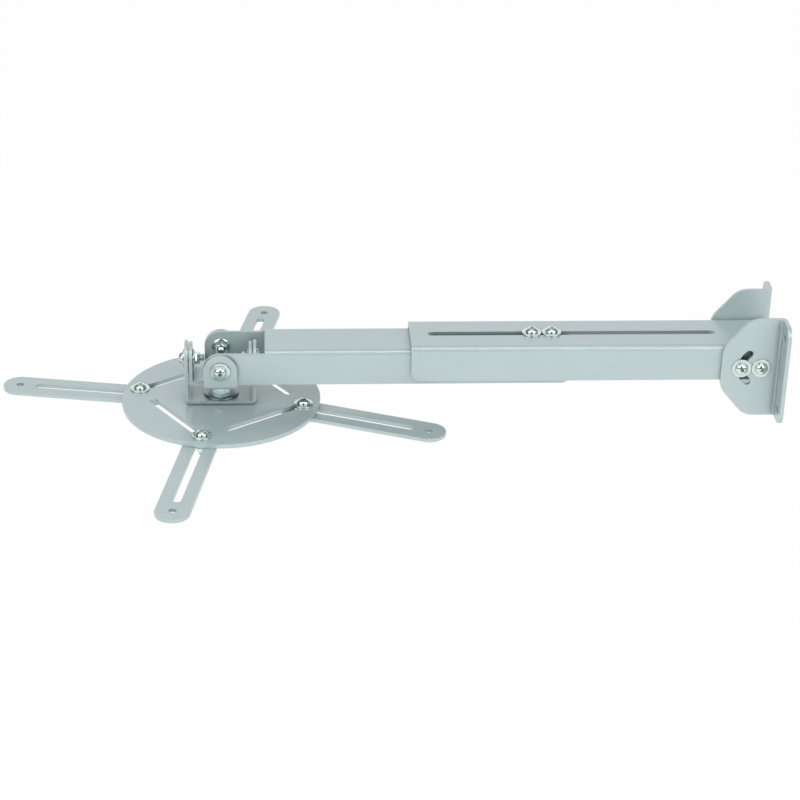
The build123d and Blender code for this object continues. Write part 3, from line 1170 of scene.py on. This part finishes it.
@dataclass
class Sheets:
    """The folded and punched sheets, which keep their solids. Sizes are in millimetres and angles in degrees.

    Args:
        edge: Rounding of a punched edge.
        edge_angle: Angle past which an edge is a punched one.
        sharp_angle: Angle past which an edge is shaded sharp.
        flat_angle: Angle up to which faces are joined into one.
        weld: Distance at which corners are joined.
        slot_inset: Where the long slot starts from the outer channel's end.
        slot_run: Length of the long slot.
        slot_half: Half the width of the long slot.
        wall_shade: Inner and outer radius of the painted shade behind the wall brackets' arc slots.
        ear_shade: Inner and outer radius of the painted shadow round the cross bracket's ears.
        clamp_shade: Radius of the painted shadow that the disc casts round a clamp screw.
        arms: Where the four arms are.
    """

    edge: float = 0.35
    edge_angle: float = 55.0
    sharp_angle: float = 28.0
    flat_angle: float = 0.4
    weld: float = 0.004
    slot_inset: float = 16.5
    slot_run: float = 212.0
    slot_half: float = 3.0
    wall_shade: tuple[float, float] = (10.5, 19.5)
    ear_shade: tuple[float, float] = (11.5, 14.0)
    clamp_shade: float = 12.5
    arms: tuple[str, ...] = ("left", "front", "right", "rear")

    def paints(self, paint: SilverPaint, close: SilverPaint) -> list[tuple[SilverPaint, tuple[str, ...]]]:
        """Each paint, with the sheets that wear it.

        Args:
            paint: Plain paint.
            close: Paint for sheets that stay close to their neighbours at every pose; its painted shade takes them in.

        Returns:
            Pairs of a paint and names of sheets.
        """
        # Painted shade that shows through the wall brackets' arc slots, as a ring round the tilt pivot.
        wall_slot_shade = self._pivot_shade("tilt_pivot_front_screw", "outer_channel", self.wall_shade)
        # Painted shadow of the cross bracket's ears on the fork cheeks.
        ear_shadow = self._pivot_shade("pitch_front_screw", "inner_channel", self.ear_shade)
        ear_shadow = replace(ear_shadow, feather=1.5, depth=0.35)
        # Painted shade on the walls of the long slot in the outer channel's top.
        start = Span.of("outer_channel", Facing.RIGHT).low / MM + self.slot_inset
        slot = SlotShade(start, start + self.slot_run, self.slot_half)
        pairs = [
            (paint, ("wall_bracket_front", "wall_bracket_back", "disc")),
            (close, ("cross_bracket", "base_bracket")),
            (replace(paint, name="outer_channel_paint", marks=(wall_slot_shade, slot)), ("outer_channel",)),
            (replace(paint, name="inner_channel_paint", marks=(ear_shadow,)), ("inner_channel",)),
        ]
        # Each arm gets the painted shadow of the disc round its clamp screw.
        for place in self.arms:
            clamped = replace(paint, name=f"arm_{place}_paint", marks=(self._clamp_shadow(place),))
            pairs.append((clamped, (f"arm_{place}",)))
        return pairs

    @staticmethod
    def _pivot_shade(screw: str, sheet: str, radii: tuple[float, float]) -> ShadeRing:
        """Painted shade on both sides of a channel, round a screw where another sheet turns against it.

        Args:
            screw: A screw that it turns on.
            sheet: The channel.
            radii: Inner and outer radius of the mark.

        Returns:
            The mark, round the screw.
        """
        pivot, sides = Span.of(screw, Facing.FRONT).middle / MM, Span.of(sheet, Facing.FRONT)
        middle = (pivot.x, sides.middle.y / MM, pivot.z)
        return ShadeRing(middle, Facing.FRONT, radii[1], sides.length / 2, radii[0])

    def _clamp_shadow(self, place: str) -> ShadeRing:
        """Painted shadow of the disc on an arm's top where the disc clamps it.

        Args:
            place: Where the arm is.

        Returns:
            The mark, round the clamp screw.
        """
        arm = Span.of(f"arm_{place}", Facing.UP)
        screw = Span.of(f"clamp_{place}_screw", Facing.UP).middle / MM
        middle = (screw.x, screw.y, arm.middle.z / MM)
        return ShadeRing(middle, Facing.UP, self.clamp_shade, arm.length / 2, feather=2.5, depth=0.5, both=False)

    def dress(self, nodes: dict[str, bpy.types.Object]) -> None:
        """Gives each sheet its paint and soft edges.

        Args:
            nodes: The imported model's nodes by name.
        """
        softener = self._softener()
        paint = SilverPaint()
        close = replace(paint, name="gimbal_paint", alone=False)
        edges = {kind.alone: kind.thinned_highlit().build() for kind in (paint, close)}
        for kind, names in self.paints(paint, close):
            coats = kind.build(), edges[kind.alone]
            for name in names:
                self._dress_sheet(nodes[name], coats, softener)
                LOG.info("dressed %s", name)

    def _dress_sheet(
        self,
        sheet: bpy.types.Object,
        coats: tuple[bpy.types.Material, bpy.types.Material],
        softener: bpy.types.NodeTree,
    ) -> None:
        """Gives one sheet its paint and soft edges.

        Args:
            sheet: The sheet's node.
            coats: Its paint, and that paint thinned and lightened as a painted highlight along edges.
            softener: Geometry nodes that smooth its shading.
        """
        sheet.data.materials.clear()
        for coat in coats:
            sheet.data.materials.append(coat)
        weld = sheet.modifiers.new("weld", "WELD")
        weld.merge_threshold = self.weld * MM
        flatten = sheet.modifiers.new("flatten", "DECIMATE")
        flatten.decimate_type = "DISSOLVE"
        flatten.angle_limit = math.radians(self.flat_angle)
        bevel = sheet.modifiers.new("punched_edge", "BEVEL")
        bevel.width = self.edge * MM
        bevel.segments = 2
        bevel.limit_method = "ANGLE"
        bevel.angle_limit = math.radians(self.edge_angle)
        bevel.use_clamp_overlap = True
        # The bevelled edges take the second coat: paint wear with a painted highlight.
        bevel.material = 1
        soften = sheet.modifiers.new("soften", "NODES")
        soften.node_group = softener
        level = sheet.modifiers.new("flat_faces", "WEIGHTED_NORMAL")
        level.mode = "FACE_AREA"
        level.weight = 100
        level.keep_sharp = True

    def _softener(self) -> bpy.types.NodeTree:
        """Geometry nodes that shade faces smooth and keep sharp edges.

        Returns:
            The node group.
        """
        group = bpy.data.node_groups.new("soften", "GeometryNodeTree")
        group.interface.new_socket("Geometry", in_out="INPUT", socket_type="NodeSocketGeometry")
        group.interface.new_socket("Geometry", in_out="OUTPUT", socket_type="NodeSocketGeometry")
        graph = Graph(group)
        start = graph.node("NodeGroupInput")
        bare = graph.node("GeometryNodeRemoveAttribute", {}, {"Geometry": start.wire(), "Name": "custom_normal"})
        smooth = graph.node("GeometryNodeSetShadeSmooth", {"domain": "FACE"}, {"Geometry": bare.wire()})
        angle = graph.node("GeometryNodeInputMeshEdgeAngle").wire("Unsigned Angle")
        limits = {0: angle, 1: math.radians(self.sharp_angle)}
        test = graph.node("FunctionNodeCompare", {"data_type": "FLOAT", "operation": "LESS_THAN"}, limits)
        edges = graph.node(
            "GeometryNodeSetShadeSmooth", {"domain": "EDGE"}, {"Geometry": smooth.wire(), "Shade Smooth": test.wire()}
        )
        graph.node("NodeGroupOutput", {}, {0: edges.wire()})
        return group


def bearing(azimuth: float, elevation: float) -> Vector:
    """Unit vector towards a place round the object.

    Args:
        azimuth: Its bearing from the front, in degrees to the right.
        elevation: Its height, in degrees.

    Returns:
        The vector.
    """
    turn, rise = math.radians(azimuth), math.radians(elevation)
    across = math.cos(rise)
    return Vector((math.sin(turn) * across, -math.cos(turn) * across, math.sin(rise)))


@dataclass
class Softbox:
    """A soft lamp that faces the object.

    Args:
        name: The lamp's name.
        azimuth: Its bearing from the front, in degrees to the right.
        elevation: Its height above the object, in degrees.
        distance: Its distance, in metres.
        size: Its width and height, in metres.
        power: Its power, in watts.
        mirrored: Whether gloss shows it.
    """

    name: str
    azimuth: float
    elevation: float
    distance: float
    size: tuple[float, float]
    power: float
    mirrored: bool = True

    def hang(self, target: Vector) -> None:
        """Makes the lamp.

        Args:
            target: Point that it faces.
        """
        away = bearing(self.azimuth, self.elevation)
        data = bpy.data.lights.new(self.name, "AREA")
        data.shape = "RECTANGLE"
        data.size, data.size_y = self.size
        data.energy = self.power
        lamp = bpy.data.objects.new(self.name, data)
        lamp.location = target + away * self.distance
        lamp.rotation_euler = (-away).to_track_quat("-Z", "Y").to_euler()
        lamp.visible_glossy = self.mirrored
        bpy.context.scene.collection.objects.link(lamp)


@dataclass
class Studio:
    """Pale floor, soft lamps and white surroundings.

    Args:
        floor_level: Height of the floor, in metres.
        floor_size: Width of the floor, in metres.
        ambient: Even light from all around.
        room: Brightness of the room behind the camera, as gloss shows it.
        ceiling: Brightness of the ceiling, as gloss shows it.
        target: Point that the lamps face.
        floor_colour: Colour of the floor, as it lights the object.
        floor_glow: Share of the floor's white that its shadows leave alone.
        room_edge: How far back the room's dim side goes, and where the white starts.
        ceiling_edge: Height where the ceiling starts, and where it is full.
    """

    floor_level: float = -0.60
    floor_size: float = 9.0
    ambient: float = 0.65
    room: float = 0.20
    ceiling: float = 0.70
    target: Point = (-0.30, 0.0, 0.0)
    floor_colour: Colour = (0.93, 0.94, 0.94)
    floor_glow: float = 0.97
    room_edge: tuple[float, float] = (0.5, 0.85)
    ceiling_edge: tuple[float, float] = (0.70, 0.95)

    def build(self) -> None:
        """Makes the floor, the surroundings and the lamps."""
        self._floor()
        self._world()
        for softbox in (
            Softbox("left_softbox", -46.0, 30.0, 1.9, (1.7, 1.4), 14.5),
            Softbox("right_softbox", 44.0, 30.0, 1.9, (1.7, 1.4), 16.0),
            Softbox("front_softbox", 0.0, 12.0, 2.2, (1.2, 0.6), 6.8, mirrored=False),
            Softbox("top_softbox", 0.0, 66.0, 1.9, (0.9, 0.22), 3.6),
        ):
            softbox.hang(Vector(self.target))

    def _floor(self) -> None:
        """Lays the floor, which is white from above, keeps the object's shadow and is clear from below."""
        mesh = bmesh.new()
        bmesh.ops.create_grid(
            mesh,
            x_segments=1,
            y_segments=1,
            size=self.floor_size / 2,
            matrix=Matrix.Translation((self.target[0], 0.0, self.floor_level)),
        )
        floor = bpy.data.objects.new("floor", keep(mesh, "floor"))
        bpy.context.scene.collection.objects.link(floor)
        material, graph = new_material("white_floor")
        path = graph.node("ShaderNodeLightPath")
        seen = path.wire("Is Camera Ray").larger(path.wire("Is Glossy Ray")).larger(path.wire("Is Transmission Ray"))
        matt = graph.node("ShaderNodeBsdfDiffuse", {}, {"Color": self.floor_colour})
        glow = graph.node("ShaderNodeEmission", {}, {"Color": WHITE, "Strength": 1.0})
        top = graph.node("ShaderNodeMixShader", {}, {0: seen * self.floor_glow, 1: matt.wire(), 2: glow.wire()})
        under = graph.node("ShaderNodeNewGeometry").wire("Backfacing")
        clear = graph.node("ShaderNodeBsdfTransparent")
        mix = graph.node("ShaderNodeMixShader", {}, {0: under, 1: top.wire(), 2: clear.wire()})
        graph.node("ShaderNodeOutputMaterial", {}, {"Surface": mix.wire()})
        floor.data.materials.append(material)

    def _world(self) -> None:
        """Sets the surroundings: white to the eye, and in gloss white behind the object and dim behind the camera."""
        world = bpy.data.worlds.new("white_surroundings")
        bpy.context.scene.world = world
        world.use_nodes = True
        graph = Graph(world.node_tree)
        path = graph.node("ShaderNodeLightPath")
        camera = path.wire("Is Camera Ray")
        gloss = path.wire("Is Glossy Ray").larger(path.wire("Is Transmission Ray"))
        way = graph.node("ShaderNodeSeparateXYZ", {}, {0: graph.node("ShaderNodeTexCoord").wire("Generated")})
        behind = way.wire("Y").ramp(*self.room_edge, self.room, 1.0)
        above = way.wire("Z").ramp(*self.ceiling_edge, 0.0, self.ceiling)
        level = camera + (1.0 - camera) * (gloss * behind.larger(above) + (1.0 - gloss) * self.ambient)
        sky = graph.node("ShaderNodeBackground", {}, {"Color": WHITE, "Strength": level})
        graph.node("ShaderNodeOutputWorld", {}, {"Surface": sky.wire()})


@dataclass
class Viewpoint:
    """The photograph's camera, fitted to the object's edges.

    Angles are in degrees, lengths in metres and the lens in millimetres.
    """

    azimuth: float = -3.857
    elevation: float = 27.867
    roll: float = 1.390
    distance: float = 1.69939
    target: Point = (-0.285236, 0.0, -0.039722)
    focal_pixels: float = 2227.75
    frame_pixels: float = 800.0
    sensor: float = 36.0
    clip: tuple[float, float] = (0.05, 30.0)

    def build(self) -> None:
        """Makes the camera and takes it into use."""
        azimuth, roll = math.radians(self.azimuth), math.radians(self.roll)
        back = bearing(self.azimuth, self.elevation)
        right = Vector((math.cos(azimuth), math.sin(azimuth), 0.0))
        up = back.cross(right)
        across = right * math.cos(roll) + up * math.sin(roll)
        upward = up * math.cos(roll) - right * math.sin(roll)
        data = bpy.data.cameras.new("photo_camera")
        data.sensor_width = self.sensor
        data.lens = self.focal_pixels * self.sensor / self.frame_pixels
        data.clip_start, data.clip_end = self.clip
        camera = bpy.data.objects.new("photo_camera", data)
        axes = Matrix((across, upward, back)).transposed().to_4x4()
        camera.matrix_world = Matrix.Translation(Vector(self.target) + back * self.distance) @ axes
        bpy.context.scene.collection.objects.link(camera)
        bpy.context.scene.camera = camera


def clear_start_scene() -> None:
    """Removes what Blender puts in a new scene."""
    for thing in list(bpy.data.objects):
        bpy.data.objects.remove(thing)


def main() -> None:
    """Builds the whole scene and logs the pieces that were made."""
    logging.basicConfig(level=logging.INFO, format="%(name)s: %(message)s")
    clear_start_scene()
    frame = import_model()
    bpy.context.scene.view_settings.view_transform = "Standard"
    Sheets().dress(frame["nodes"])
    zinc = ZincPlate()
    shop = Workshop(zinc.build(), zinc.shaded_copy().build())
    Fasteners().build(shop)
    for name in shop.made:
        LOG.info("made %s", name)
    Studio().build()
    Viewpoint().build()
    bpy.context.view_layer.update()


if __name__ == "__main__":
    main()
